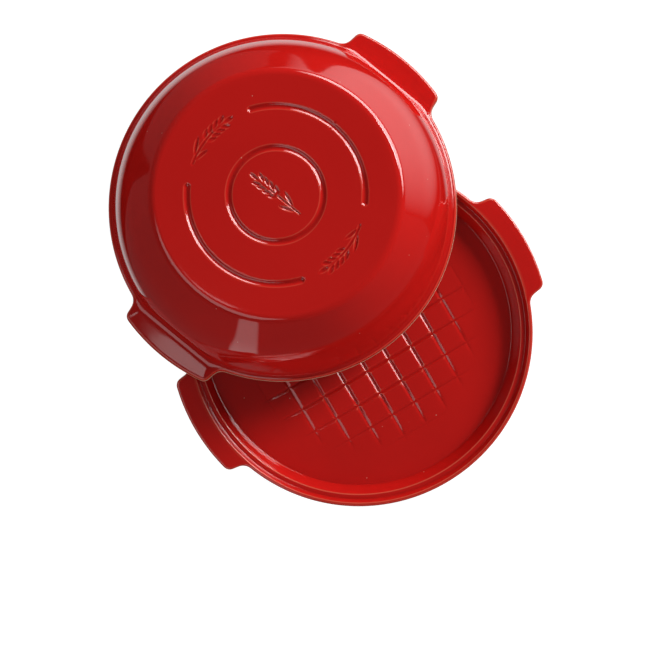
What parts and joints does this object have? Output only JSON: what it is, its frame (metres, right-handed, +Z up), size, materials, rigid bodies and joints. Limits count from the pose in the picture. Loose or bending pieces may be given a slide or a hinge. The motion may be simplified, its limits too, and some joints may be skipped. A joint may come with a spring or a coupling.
{
  "type": "ceramic bread baker",
  "caption": "Round glazed ceramic bread baker: a shallow base with a grooved floor and lug handles, and a domed lid with matching lugs that lifts off.",
  "frame": {"origin": "centre of the base's flat underside, on the surface it stands on", "axes": "+Z up, +X through the base's two lugs, +Y towards the lid, which leans on the base's rim"},
  "size_m": [0.3248, 0.4193, 0.1468],
  "materials": {
    "base_glaze": "glossy red glaze, bare clay along the rim",
    "lid_glaze": "glossy red glaze, bare clay along the rim"
  },
  "bodies": {
    "base": {"base": "base_glaze"},
    "lid": {"lid": "lid_glaze"}
  },
  "joints": [
    {"name": "lid_lift", "type": "slide", "parent": "base", "child": "lid", "axis": [0, 0, 1], "range_m": [0, 0.15]}
  ]
}
